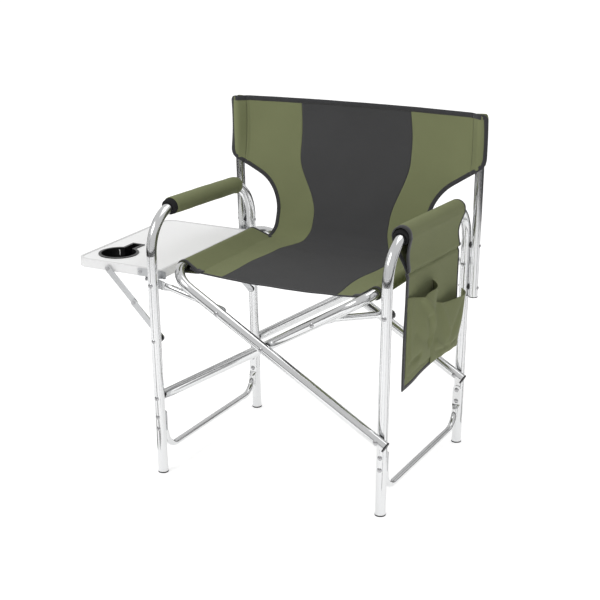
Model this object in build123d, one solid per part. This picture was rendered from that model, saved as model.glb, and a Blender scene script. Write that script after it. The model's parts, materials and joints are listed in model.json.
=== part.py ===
from build123d import *
import math
import os

# Folding director chair with a side table and an arm organiser.
# Millimetres, +Z up, the chair faces -Y, the origin is on the floor midway between the four feet.
# "Left" is -X, where the table is. Each side is written as side = -1 (left) or +1 (right),
# and each end as end = -1 (front) or +1 (rear).

# ---- driving dimensions ----
TUBE = 25.0             # outer diameter of the main tubes
POST_TUBE = 22.0        # outer diameter of the back posts
BRACE_TUBE = 16.0       # outer diameter of the lower braces and the struts
WALL = 1.2              # tube wall
PIVOT_X = 290.3         # lower pivots of the folding cross, from the middle
PIVOT_Z = 195.0         # height of those pivots
CROSS_Z = 368.0         # height of the crossing pivot
RAIL_X = 248.0          # seat rails, from the middle
LEG_SPACING = 470.0     # front leg to rear leg
ARM_Z = 645.0           # axis of the arm tube, halfway along
ARM_SLOPE = 0.044       # fall of the arm tube towards the rear, per millimetre
ARM_BEND = 100.0        # bend radius between legs and arm
LEAN = 1.06             # outward lean of the side frames, degrees
GAP = 2.5               # spacer thickness between tubes that turn on each other
RAIL_BEND = 65.0        # bend radius of the seat frames
STRUT_LEG_Z = 285.0     # strut rivets on the legs, above the lower pivots
STRUT_REACH = 135.7     # strut rivets on the seat frames, beyond the crossing
STRUT_SPACER = {-1: 0.6, 1: 12.0}
BRACE_RIVETS_Z = (147.0, 117.0)
BRACE_RUN_Z = 54.0
BRACE_BEND = 45.0
BRACE_TAPER = 9.0       # length over which the brace goes from round to flat
POST_GAP = 2.0          # spacer between rear leg and back post
POST_BOTTOM_Z = 396.0
POST_TOP_Z = 847.0
POST_RIVETS_Z = (529.0, 421.0)
BACK_LOW_Z = 706.0      # lower end of the back panel's sleeves
BACK_TOP_Z = 854.0
CLOTH = 1.5             # doubled fabric
TABLE_TOP_Z = 507.0
TABLE_DEPTH = 22.0
TABLE_INNER_X = -293.0
TABLE_OUTER_X = -543.0
TABLE_Y = {-1: -216.0, 1: 196.0}
TABLE_HINGE_Z = 493.0
TABLE_CORNER = 30.0
CUP_CENTRE = (-470.5, -135.5)
CUP_HOLE_R = 44.0
CUP_RING_R = 50.0
CUP_DEPTH = 31.0
HANDLE_SLOT_W = 24.0
HANDLE_SLOT_END = 84.0  # from the middle of the cup
LINK_LEG_Z = 341.0      # side table strut rivets on the left legs
LINK_TABLE_X = -443.7
LINK_TABLE_Z = 492.0
LINK_KNEE = 0.5098      # knee position along the strut, from the leg
LINK_T = 3.0
LINK_W = 16.0
LINK_GAP = 1.2          # between the two links
LINK_RIM_GAP = 4.0      # between the table rim and the upper link
BRACKET_T = 2.0
RIM_T = 1.8
LIP_W = 7.0
LIP_T = 1.5
RIVET_R = 3.0
HEAD_R = 6.0
HEAD_H = 2.4
HOLE_R = RIVET_R + 0.06
PAD_R = 20.0            # arm padding
FOOT_H = 3.0
FLANGE = 0.4            # overhang of the foot caps' flanges
LOW_HEAD = 1.3          # flat rivet heads where something sweeps past
ORGANISER_Y = (-163.0, 174.0)
ORGANISER_LOW_Z = 296.0
POCKET_FACE_X = PIVOT_X + PAD_R + CLOTH + 0.2
POCKET_DEPTH = 24.0
POCKETS = {
    "organiser_front_pocket": ((-150.0, -2.0), (318.0, 506.0)),
    "organiser_rear_pocket": ((4.0, 166.0), (318.0, 462.0)),
}
BRACKET_RIVETS = ((-352.0, 496.0), (-326.0, 496.0))
BLOCK_SIZE = (21.0, 10.0)
BLOCK_LEFT = -313.0

# ---- derived places ----
SHIFT = (TUBE + GAP) / 2            # each side frame is offset along Y by this much
SLOPE = math.atan2(CROSS_Z - PIVOT_Z, PIVOT_X)
LOWER_ARM = math.hypot(CROSS_Z - PIVOT_Z, PIVOT_X)
RAIL_REACH = RAIL_X / math.cos(SLOPE)
SIDES = (-1, 1)
ENDS = (-1, 1)
X_DIR = Vector(1, 0, 0)
Y_DIR = Vector(0, 1, 0)
Z_DIR = Vector(0, 0, 1)


def frame_y(side, end):
    """Y of a leg, and of the seat frame that lies in the same plane."""
    return end * LEG_SPACING / 2 + side * SHIFT


def on_frame(side, y, rise):
    """A point on the leaning side frame, this far above its lower pivot."""
    lean = math.radians(LEAN)
    return Vector(side * (PIVOT_X + rise * math.sin(lean)), y, PIVOT_Z + rise * math.cos(lean))


def lean(shape, side):
    """Turns what was built upright on a side frame to the frame's lean."""
    pivot = Axis((side * PIVOT_X, 0, PIVOT_Z), (0, 1, 0))
    return shape.rotate(pivot, side * LEAN)


def along_cross(side, reach, y):
    """A point on the seat frame whose rail is on this side, measured from the crossing."""
    return Vector(side * reach * math.cos(SLOPE), y, CROSS_Z + reach * math.sin(SLOPE))


# ---- building blocks ----
def rod(centre, direction, length, radius):
    return Plane(origin=centre, z_dir=direction) * Cylinder(radius, length)


def ring(centre, direction, length, outer, inner):
    plane = Plane(origin=centre, z_dir=direction)
    return plane * (Cylinder(outer, length) - Cylinder(inner, length))


def bent_tube(points, radius, diameter, wall=WALL):
    path = FilletPolyline(*points, radius=radius)
    start = Plane(origin=path @ 0, z_dir=path % 0)
    section = start * (Circle(diameter / 2) - Circle(diameter / 2 - wall))
    return sweep(section, path=path)


def rivet(centre, direction, grip, head=HEAD_R):
    """Shank through the grip with a domed head at each end."""
    half = grip / 2
    sphere = (head ** 2 + HEAD_H ** 2) / (2 * HEAD_H)
    bulge = (head / 2, half + HEAD_H - sphere + math.sqrt(sphere ** 2 - head ** 2 / 4))
    tip = half + HEAD_H
    outline = [
        ThreePointArc((0, -tip), (bulge[0], -bulge[1]), (head, -half)),
        Line((head, -half), (RIVET_R, -half)),
        Line((RIVET_R, -half), (RIVET_R, half)),
        Line((RIVET_R, half), (head, half)),
        ThreePointArc((head, half), bulge, (0, tip)),
        Line((0, tip), (0, -tip)),
    ]
    profile = Plane.XZ * make_face(outline)
    return Plane(origin=centre, z_dir=direction) * revolve(profile, Axis.Z)


def saddle(axis_point, direction, tube_direction, radius, tube_d, thickness):
    """Black spacer that is hollowed to sit on a round tube and is flat on its far side."""
    reach = tube_d / 2 + thickness
    body = rod(axis_point + direction * (reach / 2), direction, reach, radius)
    body -= rod(axis_point, tube_direction, 4 * radius, tube_d / 2 + 0.05)
    body -= rod(axis_point + direction * (reach / 2), direction, reach, HOLE_R)
    return body


def pierce(shape, points, direction, length=60.0):
    for point in points:
        shape -= rod(point, direction, length, HOLE_R)
    return shape


def group(shapes):
    return Compound(list(shapes))


# ---- side frames ----
def arch_points(side):
    """Corners of the inverted U that is bent into front leg, arm and rear leg."""
    front = frame_y(side, -1)
    rear = frame_y(side, 1)
    x = side * PIVOT_X
    return [
        (x, front, FOOT_H),
        (x, front, ARM_Z + ARM_SLOPE * LEG_SPACING / 2),
        (x, rear, ARM_Z - ARM_SLOPE * LEG_SPACING / 2),
        (x, rear, FOOT_H),
    ]


def side_frame(side):
    """Front leg, arm and rear leg in one bent tube, with all its rivet holes."""
    front = frame_y(side, -1)
    rear = frame_y(side, 1)
    x = side * PIVOT_X
    frame = bent_tube(arch_points(side), ARM_BEND, TUBE)
    across = [PIVOT_Z, PIVOT_Z + STRUT_LEG_Z, *BRACE_RIVETS_Z]
    if side < 0:
        across.append(LINK_LEG_Z)
    for y in (front, rear):
        frame = pierce(frame, [Vector(x, y, z) for z in across], Y_DIR)
    frame = pierce(frame, [Vector(x, rear, z) for z in POST_RIVETS_Z], X_DIR, 30)
    if side < 0:
        frame = pierce(frame, [Vector(x - TUBE / 2, front, TABLE_HINGE_Z)], X_DIR, 12)
        frame = pierce(frame, [Vector(x, rear - TUBE / 2, TABLE_HINGE_Z)], Y_DIR, 12)
    return lean(frame, side)


def foot_caps(side):
    """Plastic plugs with a flange on the floor, one in each leg."""
    caps = []
    for end in ENDS:
        centre = Vector(side * PIVOT_X, frame_y(side, end), 0)
        flange = rod(centre + Z_DIR * (FOOT_H / 2 - 3), Z_DIR, FOOT_H + 5.9, TUBE / 2 + FLANGE)
        plug = rod(centre + Z_DIR * (FOOT_H + 9), Z_DIR, 18.2, TUBE / 2 - WALL - 0.05)
        cap = lean(flange + plug, side)
        floor = Pos(centre.X, centre.Y, -50) * Box(200, 200, 100)
        caps.append(cap - floor)
    return group(caps)


def brace_tube(side):
    """Low U-brace with flattened ends between the front and rear legs."""
    x = side * PIVOT_X
    front = frame_y(side, -1) + TUBE / 2
    rear = frame_y(side, 1) - TUBE / 2
    round_in = BRACE_TUBE / 2
    bend_top = BRACE_RUN_Z + BRACE_BEND + 0.1
    points = [
        (x, front + round_in, bend_top),
        (x, front + round_in, BRACE_RUN_Z),
        (x, rear - round_in, BRACE_RUN_Z),
        (x, rear - round_in, bend_top),
    ]
    brace = bent_tube(points, BRACE_BEND, BRACE_TUBE)
    top = BRACE_RIVETS_Z[0] + 11
    flat_from = bend_top + BRACE_TAPER
    for face, way in ((front, 1), (rear, -1)):
        round_face = Plane(origin=(x, face + way * round_in, bend_top), x_dir=(1, 0, 0), z_dir=(0, 0, 1))
        flat_face = Plane(origin=(x, face + way * 1.4, flat_from), x_dir=(1, 0, 0), z_dir=(0, 0, 1))
        squeezed = loft([round_face * Circle(round_in), flat_face * SlotOverall(22.0, 2.6)])
        height = top - flat_from
        blade = Pos(x, face + way * 1.4, flat_from + height / 2) * Box(21.0, 2.6, height)
        blade = fillet(blade.edges().filter_by(Axis.Y).group_by(Axis.Z)[-1], 9.0)
        brace += squeezed + blade
    for y in (front, rear):
        brace = pierce(brace, [Vector(x, y, z) for z in BRACE_RIVETS_Z], Y_DIR)
    return lean(brace, side)


def frame_rivets(side):
    """Every rivet whose home is this side frame."""
    x = side * PIVOT_X
    rivets = []
    for end in ENDS:
        y = frame_y(side, end)
        inward = -end
        for z in BRACE_RIVETS_Z:
            centre = Vector(x, y + inward * 1.4, z)
            rivets.append(rivet(centre, Y_DIR, TUBE + 2.8))
        grip = TUBE + STRUT_SPACER[side] + 2.8
        centre = Vector(x, y + (grip - TUBE) / 2, PIVOT_Z + STRUT_LEG_Z)
        rivets.append(rivet(centre, Y_DIR, grip))
        centre = Vector(x, end * LEG_SPACING / 2, PIVOT_Z)
        rivets.append(rivet(centre, Y_DIR, 2 * TUBE + GAP))
        if side < 0:
            rivets.append(link_leg_rivet(x, y, end))
    for z in POST_RIVETS_Z:
        grip = TUBE + POST_GAP + POST_TUBE
        centre = Vector(x + side * (grip - TUBE) / 2, frame_y(side, 1), z)
        rivets.append(rivet(centre, X_DIR, grip, head=4.5))
    return lean(group(rivets), side)


def link_leg_rivet(x, y, end):
    """Lower pivot of a folding table strut, ending level with the lower link."""
    stack = link_standoff(end) + LINK_T
    centre = Vector(x, y - end * stack / 2, LINK_LEG_Z)
    full = rivet(centre, Y_DIR, TUBE + stack, head=5.0)
    inner_end = centre - Y_DIR * (end * (TUBE + stack) / 2)
    return full - rod(inner_end - Y_DIR * (end * 5), Y_DIR, 10, 8)


def link_spacer(leg, end):
    """Black disc on the leg with a narrower neck up to the lower link."""
    inward = Y_DIR * -end
    height = link_standoff(end) - 0.1
    disc = saddle(leg, inward, Z_DIR, 9.0, TUBE, min(height, 3.5))
    if height > 3.5:
        neck_height = height - 3.5
        neck = rod(leg + inward * (TUBE / 2 + 3.5 + neck_height / 2), Y_DIR, neck_height, 5.5)
        disc += neck - rod(leg, Y_DIR, 80, HOLE_R)
    return disc


def frame_spacers(side):
    """Black plastic spacers between this side frame and what is riveted to it."""
    x = side * PIVOT_X
    spacers = []
    toward = -side
    for end in ENDS:
        leg = Vector(x, frame_y(side, end), PIVOT_Z)
        spacers.append(saddle(leg, Y_DIR * toward, Z_DIR, 8.5, TUBE, GAP - 0.15))
        leg = Vector(x, frame_y(side, end), PIVOT_Z + STRUT_LEG_Z)
        if side > 0:
            spacers.append(saddle(leg, Y_DIR, Z_DIR, 9.5, TUBE, STRUT_SPACER[side] - 0.1))
        if side < 0:
            leg = Vector(x, frame_y(side, end), LINK_LEG_Z)
            spacers.append(link_spacer(leg, end))
    for z in POST_RIVETS_Z:
        leg = Vector(x, frame_y(side, 1), z)
        block = saddle(leg, X_DIR * side, Z_DIR, 7.5, TUBE, POST_GAP + POST_TUBE / 2)
        post = leg + X_DIR * (side * (TUBE / 2 + POST_GAP + POST_TUBE / 2))
        spacers.append(block - rod(post, Z_DIR, 60, POST_TUBE / 2 + 0.05))
    return lean(group(spacers), side)


def post_axis(side, z):
    return Vector(side * (PIVOT_X + TUBE / 2 + POST_GAP + POST_TUBE / 2), frame_y(side, 1), z)


def back_post(side):
    length = POST_TOP_Z - POST_BOTTOM_Z - 4
    middle = post_axis(side, (POST_TOP_Z + POST_BOTTOM_Z) / 2)
    post = ring(middle, Z_DIR, length, POST_TUBE / 2, POST_TUBE / 2 - WALL)
    post = pierce(post, [post_axis(side, z) for z in POST_RIVETS_Z], X_DIR, 30)
    return lean(post, side)


def post_caps(side):
    """Plastic plugs in both ends of a back post."""
    caps = []
    for z, way in ((POST_BOTTOM_Z, 1), (POST_TOP_Z, -1)):
        edge = post_axis(side, z)
        flange = rod(edge + Z_DIR * (way * 1.0), Z_DIR, 2.0, POST_TUBE / 2 + 0.4)
        plug = rod(edge + Z_DIR * (way * 9.0), Z_DIR, 14.0, POST_TUBE / 2 - WALL - 0.05)
        caps.append(lean(flange + plug, side))
    return group(caps)


def post_sleeve(side):
    """Hem of the back panel, closed round a back post."""
    length = BACK_TOP_Z - BACK_LOW_Z
    middle = post_axis(side, (BACK_TOP_Z + BACK_LOW_Z) / 2)
    outer = POST_TUBE / 2 + CLOTH + 0.6
    sleeve = ring(middle, Z_DIR, length, outer, POST_TUBE / 2 + 0.6)
    lid = rod(post_axis(side, BACK_TOP_Z - CLOTH / 2), Z_DIR, CLOTH, outer)
    return lean(sleeve + lid, side)


# ---- arm padding and organiser ----
def arm_point(side, y):
    """Axis of the arm tube above the lower pivot's upright, before the lean."""
    offset = y - side * SHIFT
    return Vector(side * PIVOT_X, y, ARM_Z - ARM_SLOPE * offset)


def arm_sleeve(side, y_from, y_to, outer, inner):
    """Sleeve that follows the arm tube, bends included, between two places along Y."""
    full = bent_tube(arch_points(side), ARM_BEND, 2 * outer, outer - inner)
    centre_y = (y_from + y_to) / 2
    slice_box = Pos(side * PIVOT_X, centre_y, ARM_Z) * Box(120, y_to - y_from, 160)
    return lean(full & slice_box, side)


def organiser_section(y):
    """Hooked cross-section: inner flap, over the arm, and down the outside of the frame."""
    top = arm_point(1, y)
    outer = PAD_R + CLOTH
    low_z = ORGANISER_LOW_Z
    inner_z = top.Z - 4
    points = [
        (top.X - outer, inner_z),
        (top.X - outer, top.Z),
        (top.X + outer, top.Z),
        (top.X + outer, low_z),
        (top.X + PAD_R, low_z),
        (top.X + PAD_R, top.Z),
        (top.X - PAD_R, top.Z),
        (top.X - PAD_R, inner_z),
    ]
    outline = [
        Line(points[0], points[1]),
        ThreePointArc(points[1], (top.X, top.Z + outer), points[2]),
        Line(points[2], points[3]),
        Line(points[3], points[4]),
        Line(points[4], points[5]),
        ThreePointArc(points[5], (top.X, top.Z + PAD_R), points[6]),
        Line(points[6], points[7]),
        Line(points[7], points[0]),
    ]
    return Plane(origin=(0, y, 0), x_dir=(1, 0, 0), z_dir=(0, -1, 0)) * make_face(outline)


def organiser_panel():
    panel = loft([organiser_section(y) for y in ORGANISER_Y], ruled=True)
    return lean(panel, 1)


def organiser_pocket(span_y, span_z):
    """Gusseted pouch, open at the top, on the outer face of the organiser."""
    width = span_y[1] - span_y[0]
    height = span_z[1] - span_z[0]
    centre = ((span_y[0] + span_y[1]) / 2, (span_z[0] + span_z[1]) / 2)
    outer = Pos(POCKET_FACE_X + POCKET_DEPTH / 2, centre[0], centre[1]) * Box(POCKET_DEPTH, width, height)
    inner_size = (POCKET_DEPTH - 2 * CLOTH, width - 2 * CLOTH, height)
    inner = Pos(POCKET_FACE_X + POCKET_DEPTH / 2, centre[0], centre[1] + CLOTH) * Box(*inner_size)
    return lean(outer - inner, 1)


# ---- folding seat frames ----
def seat_frame(side):
    """U-shaped tube: the seat rail on this side and two arms that run down to the other side's legs."""
    overrun = 21.0
    low = -LOWER_ARM - overrun
    front = frame_y(side, -1)
    rear = frame_y(side, 1)
    points = [
        along_cross(side, low, front),
        along_cross(side, RAIL_REACH, front),
        along_cross(side, RAIL_REACH, rear),
        along_cross(side, low, rear),
    ]
    frame = bent_tube(points, RAIL_BEND, TUBE)
    for y in (front, rear):
        holes = [along_cross(side, reach, y) for reach in (-LOWER_ARM, 0, STRUT_REACH)]
        frame = pierce(frame, holes, Y_DIR)
    return frame


def seat_frame_caps(side):
    caps = []
    low = -LOWER_ARM - 21.0
    way = along_cross(side, 1, 0) - along_cross(side, 0, 0)
    for end in ENDS:
        edge = along_cross(side, low, frame_y(side, end))
        flange = rod(edge - way * 1.5, way, 3.0, TUBE / 2 + 0.3)
        plug = rod(edge + way * 5.0, way, 10.2, TUBE / 2 - WALL - 0.05)
        caps.append(flange + plug)
    return group(caps)


def crossing_rivets():
    return group(rivet(Vector(0, end * LEG_SPACING / 2, CROSS_Z), Y_DIR, 2 * TUBE + GAP) for end in ENDS)


def crossing_spacers():
    way = along_cross(1, 1, 0) - along_cross(1, 0, 0)
    return group(
        saddle(along_cross(1, 0, frame_y(1, end)), -Y_DIR, way, 8.5, TUBE, GAP - 0.15) for end in ENDS
    )


def strut_stubs(side):
    """Rivets in a seat frame for its struts; they stop short of the strut, where the linkage is open."""
    stubs = []
    way = along_cross(side, 1, 0) - along_cross(side, 0, 0)
    for end in ENDS:
        seat = along_cross(side, STRUT_REACH, frame_y(side, end))
        head = rivet(seat, Y_DIR, TUBE)
        cut = rod(seat + Y_DIR * (TUBE / 2 + 10), Y_DIR, 20, 30)
        stubs.append(head - cut)
        if STRUT_SPACER[side] > 2:
            stubs.append(saddle_block(seat, way, side))
    return group(stubs)


def saddle_block(seat, way, side):
    spacer = saddle(seat, Y_DIR, way, 8.0, TUBE, STRUT_SPACER[side] - 0.4)
    return spacer


def seat_tunnel(side):
    """Hem of the seat, closed round the straight part of a seat rail."""
    half = LEG_SPACING / 2 - RAIL_BEND
    middle = along_cross(side, RAIL_REACH, side * SHIFT)
    return ring(middle, Y_DIR, 2 * half, TUBE / 2 + CLOTH + 0.4, TUBE / 2 + 0.3)


# ---- struts ----
def strut_ends(side, end):
    face = frame_y(side, end) + TUBE / 2 + STRUT_SPACER[side]
    leg = on_frame(side, face, STRUT_LEG_Z)
    seat = along_cross(side, STRUT_REACH, face)
    return leg, seat


def strut(side, end):
    """Round strut with flattened, pierced ends; its front side is flush with the flats."""
    leg, seat = strut_ends(side, end)
    way = (seat - leg).normalized()
    length = (seat - leg).length
    flat_t = 2.6
    start_round = 38.0
    end_flat = 22.0
    middle = (leg + seat) / 2 + Y_DIR * (BRACE_TUBE / 2)
    body = ring(middle, way, length - 2 * start_round, BRACE_TUBE / 2, BRACE_TUBE / 2 - WALL)
    up = way.cross(Y_DIR)
    for pivot, inward in ((leg, way), (seat, way * -1)):
        round_origin = pivot + inward * start_round + Y_DIR * (BRACE_TUBE / 2)
        flat_origin = pivot + inward * end_flat + Y_DIR * (flat_t / 2)
        round_plane = Plane(origin=round_origin, x_dir=up, z_dir=inward)
        flat_plane = Plane(origin=flat_origin, x_dir=up, z_dir=inward)
        body += loft([flat_plane * SlotOverall(21.5, flat_t), round_plane * Circle(BRACE_TUBE / 2)])
        blade_plane = Plane(origin=pivot + Y_DIR * (flat_t / 2), x_dir=inward, z_dir=Y_DIR)
        eye = Circle(10.5) + Pos(end_flat / 2, 0) * Rectangle(end_flat, 21.0)
        body += extrude(blade_plane * eye, flat_t / 2, both=True)
    for pivot in (leg, seat):
        body = pierce(body, [pivot], Y_DIR, 20)
    return body


def strut_knob(side, end):
    """Black cap on the strut over its pivot in the seat frame."""
    seat = strut_ends(side, end)[1] + Y_DIR * 2.6
    stem = rod(seat - Y_DIR * 1.1, Y_DIR, 2.2, RIVET_R)
    cap = rod(seat + Y_DIR * 3.0, Y_DIR, 6.0, 8.0)
    cap = fillet(cap.edges().group_by(Axis.Y)[-1], 3.0)
    return stem + cap


# ---- side table ----
def link_faces(end):
    """Y of the table-side faces of the upper and the lower links of the folding struts."""
    upper = TABLE_Y[end] + end * LINK_RIM_GAP
    lower = upper + end * (LINK_T + LINK_GAP)
    return upper, lower


def link_standoff(end):
    """Clear distance from a left leg's face to the lower link."""
    leg_face = frame_y(-1, end) - end * TUBE / 2
    return abs(leg_face - link_faces(end)[1]) - LINK_T


TABLE_MIDDLE = ((TABLE_INNER_X + TABLE_OUTER_X) / 2, (TABLE_Y[-1] + TABLE_Y[1]) / 2)
HINGE_X = on_frame(-1, 0, TABLE_HINGE_Z - PIVOT_Z).X


def table_outline(inset, corner):
    """Plan of the table, shrunk by an inset; the outer corners are rounded more than the inner ones."""
    width = TABLE_INNER_X - TABLE_OUTER_X - 2 * inset
    length = TABLE_Y[1] - TABLE_Y[-1] - 2 * inset
    plate = Pos(*TABLE_MIDDLE) * Rectangle(width, length)
    plate = fillet(plate.vertices().group_by(Axis.X)[0], corner - inset)
    return fillet(plate.vertices().group_by(Axis.X)[-1], max(6.0 - inset, 1.0))


def slab(sketch, z_low, z_high):
    return extrude(Pos(0, 0, z_low) * sketch, z_high - z_low)


def cup_outline(grow):
    """Cup hole with the slot that lets a mug's handle through."""
    hole = Pos(*CUP_CENTRE) * Circle(CUP_HOLE_R + grow)
    slot_length = HANDLE_SLOT_END + grow
    slot = Pos(CUP_CENTRE[0], CUP_CENTRE[1] + slot_length / 2) * Rectangle(HANDLE_SLOT_W + 2 * grow, slot_length)
    return hole + slot


def table_top():
    top = slab(table_outline(RIM_T + 0.1, TABLE_CORNER), TABLE_TOP_Z - LIP_T - 4.5, TABLE_TOP_Z - LIP_T - 0.05)
    return top - slab(cup_outline(1.1), TABLE_TOP_Z - 30, TABLE_TOP_Z + 5)


def table_rim():
    """Edge profile of the table: a tall rim with a narrow lip over the top sheet."""
    low = TABLE_TOP_Z - TABLE_DEPTH
    rim = slab(table_outline(0, TABLE_CORNER), low, TABLE_TOP_Z)
    rim = fillet(rim.edges().group_by(Axis.Z)[-1], 1.4)
    rim -= slab(table_outline(RIM_T, TABLE_CORNER), low - 1, TABLE_TOP_Z - LIP_T)
    rim -= slab(table_outline(LIP_W, TABLE_CORNER), low - 1, TABLE_TOP_Z + 1)
    spots = [(LINK_TABLE_X, LINK_TABLE_Z), *BRACKET_RIVETS, (HINGE_X, TABLE_HINGE_Z)]
    for end in ENDS:
        rim = pierce(rim, [Vector(x, TABLE_Y[end], z) for x, z in spots], Y_DIR, 12)
    return rim


def cup_holder():
    """Black ring with a short collar round the cup hole and the handle slot."""
    collar_low = TABLE_TOP_Z - LIP_T - 16
    flange = slab(cup_outline(CUP_RING_R - CUP_HOLE_R), TABLE_TOP_Z - LIP_T, TABLE_TOP_Z + 0.6)
    collar = slab(cup_outline(1.0), collar_low, TABLE_TOP_Z - LIP_T)
    bore = slab(cup_outline(-0.6), collar_low - 1, TABLE_TOP_Z + 5)
    return flange + collar - bore


def cup_holder_base():
    """Shallow cup under the ring, open to the handle slot, with a drain hole in its floor."""
    top = TABLE_TOP_Z - LIP_T - 16
    low = TABLE_TOP_Z - CUP_DEPTH
    cup = slab(cup_outline(1.0), low, top - 0.05)
    cup -= slab(cup_outline(-0.6), low + 2.0, top + 1)
    return cup - slab(Pos(*CUP_CENTRE) * Circle(9.0), low - 1, top)


def table_brackets():
    """Aluminium plates on the rim ends that turn on the hinge pins."""
    plates = []
    spots = [*BRACKET_RIVETS, (HINGE_X, TABLE_HINGE_Z)]
    for end in ENDS:
        y = TABLE_Y[end] + end * (BRACKET_T / 2 + 0.02)
        plate = Pos(-320.0, y, 495.6) * Box(80.0, BRACKET_T, 19.0)
        plate = fillet(plate.edges().filter_by(Axis.Y), 4.0)
        plates.append(pierce(plate, [Vector(x, y, z) for x, z in spots], Y_DIR, 12))
    return group(plates)


def table_rivets():
    """Bracket rivets, and the shouldered upper pivots of the folding struts."""
    rivets = []
    for end in ENDS:
        inside = TABLE_Y[end] - end * RIM_T
        for x, z in BRACKET_RIVETS:
            grip = RIM_T + BRACKET_T + 0.04
            rivets.append(low_rivet(Vector(x, inside + end * grip / 2, z), grip))
        rivets.append(link_table_pivot(end))
    return group(rivets)


def low_rivet(centre, grip):
    """Flat-headed rivet, for places that something sweeps over."""
    heads = rod(centre, Y_DIR, grip + 2 * LOW_HEAD, 4.5) - rod(centre, Y_DIR, grip, 6.0)
    return heads + rod(centre, Y_DIR, grip + 0.2, RIVET_R)


def link_table_pivot(end):
    """Upper pivot of a folding strut: a shoulder on the rim, a shank and a thin head."""
    head_t = 0.8
    start = TABLE_Y[end] - end * (RIM_T + LOW_HEAD)
    link_side = TABLE_Y[end] + end * (LINK_RIM_GAP + LINK_T + 0.1)
    tip = link_side + end * head_t

    def disc(y_from, y_to, radius):
        centre = Vector(LINK_TABLE_X, (y_from + y_to) / 2, LINK_TABLE_Z)
        return rod(centre, Y_DIR, abs(y_to - y_from), radius)

    inner_head = disc(start, TABLE_Y[end] - end * RIM_T, 5.0)
    shoulder = disc(TABLE_Y[end], TABLE_Y[end] + end * (LINK_RIM_GAP - 0.1), 5.5)
    outer_head = disc(link_side, tip, 5.0)
    return disc(start, tip, RIVET_R) + inner_head + shoulder + outer_head


def hinge_blocks():
    """Black blocks on the left legs that carry the hinge pins."""
    leg = Vector(-PIVOT_X, frame_y(-1, -1), TABLE_HINGE_Z)
    near_table = TABLE_Y[-1] - BRACKET_T - 0.4
    front = block_between(near_table, leg.Y + TUBE / 2 + 3.4, 0)
    front += block_between(near_table, leg.Y, 17.0)
    front -= lean(rod(leg - X_DIR * TUBE / 2, X_DIR, 30, HOLE_R), -1)
    near_table = TABLE_Y[1] + BRACKET_T + 0.4
    rear = block_between(near_table, frame_y(-1, 1) - TUBE / 2 + 1.5, 0)
    return group([front, rear])


def block_between(y_table, y_leg, narrower):
    """Block between two places along Y, hollowed for the leg and bored for the hinge pin."""
    width = BLOCK_SIZE[0] - narrower
    middle = Pos(BLOCK_LEFT + width / 2, (y_table + y_leg) / 2, TABLE_HINGE_Z)
    block = middle * Box(width, abs(y_table - y_leg), BLOCK_SIZE[1])
    for end in ENDS:
        block -= lean(rod((-PIVOT_X, frame_y(-1, end), TABLE_HINGE_Z), Z_DIR, 60, TUBE / 2 + 0.1), -1)
    return block - rod(Vector(HINGE_X, y_table, TABLE_HINGE_Z), Y_DIR, 28, HOLE_R)


def block_screw():
    """Screw through the front hinge block into the outer wall of the leg."""
    outer_x = BLOCK_LEFT - HINGE_X - PIVOT_X
    leg_y = frame_y(-1, -1)
    shank = rod(Vector(outer_x + 6.0, leg_y, TABLE_HINGE_Z), X_DIR, 12.4, RIVET_R)
    head = rod(Vector(outer_x - 1.4, leg_y, TABLE_HINGE_Z), X_DIR, 2.4, 5.0)
    return lean(shank + head, -1)


def hinge_pins():
    """Pins from the hinge blocks into the table brackets; the rear one also enters the leg."""
    pins = []
    for end, root in ((-1, TABLE_Y[-1] - BRACKET_T - 8.5), (1, frame_y(-1, 1) - TUBE / 2 + 2.5)):
        tip = TABLE_Y[end] - end * (RIM_T + 3)
        centre = Vector(HINGE_X, (tip + root) / 2, TABLE_HINGE_Z)
        pins.append(rod(centre, Y_DIR, abs(tip - root), RIVET_R))
    return group(pins)


def link_points():
    leg = on_frame(-1, 0, LINK_LEG_Z - PIVOT_Z)
    table = Vector(LINK_TABLE_X, 0, LINK_TABLE_Z)
    knee = leg + (table - leg) * LINK_KNEE
    return leg, knee, table


def flat_link(start, stop, face, way):
    """Flat bar with round, pierced ends between two pivots."""
    line = stop - start
    middle = (start + stop) / 2
    plane = Plane(origin=(middle.X, face + way * LINK_T / 2, middle.Z), x_dir=line.normalized(), z_dir=Y_DIR)
    return extrude(plane * SlotCenterToCenter(line.length, LINK_W), LINK_T / 2, both=True)


def upper_link(end):
    """Upper half of a folding strut; the knee, where the linkage is open, is left unpierced."""
    knee, table = link_points()[1:]
    bar = flat_link(knee, table, link_faces(end)[0], end)
    return pierce(bar, [table + Y_DIR * link_faces(end)[0]], Y_DIR, 20)


def lower_link(end):
    leg, knee = link_points()[:2]
    bar = flat_link(leg, knee, link_faces(end)[1], end)
    face = Y_DIR * link_faces(end)[1]
    return pierce(bar, [leg + face, knee + face], Y_DIR, 20)


def knee_rivet(end):
    """Knee rivet, fixed in the lower link and headed on its leg side."""
    knee = link_points()[1]
    near = link_faces(end)[1] + end * 0.1
    far = link_faces(end)[1] + end * LINK_T
    shank = rod(Vector(knee.X, (near + far) / 2, knee.Z), Y_DIR, LINK_T - 0.1, RIVET_R)
    head = rod(Vector(knee.X, far + end * LOW_HEAD / 2, knee.Z), Y_DIR, LOW_HEAD, 5.0)
    return shank + head


# ---- fabric ----
def seat_fabric():
    """Seat between the rails, with a slight sag."""
    half = 227.0
    edge_z = 503.0
    sag_z = 492.0
    thick = 2.4
    outline = [
        ThreePointArc((-half, edge_z), (0, sag_z), (half, edge_z)),
        Line((half, edge_z), (half, edge_z + thick)),
        ThreePointArc((half, edge_z + thick), (0, sag_z + thick), (-half, edge_z + thick)),
        Line((-half, edge_z + thick), (-half, edge_z)),
    ]
    face = Plane(origin=(0, 178, 0), x_dir=(1, 0, 0), z_dir=(0, -1, 0)) * make_face(outline)
    return extrude(face, 356)


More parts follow.
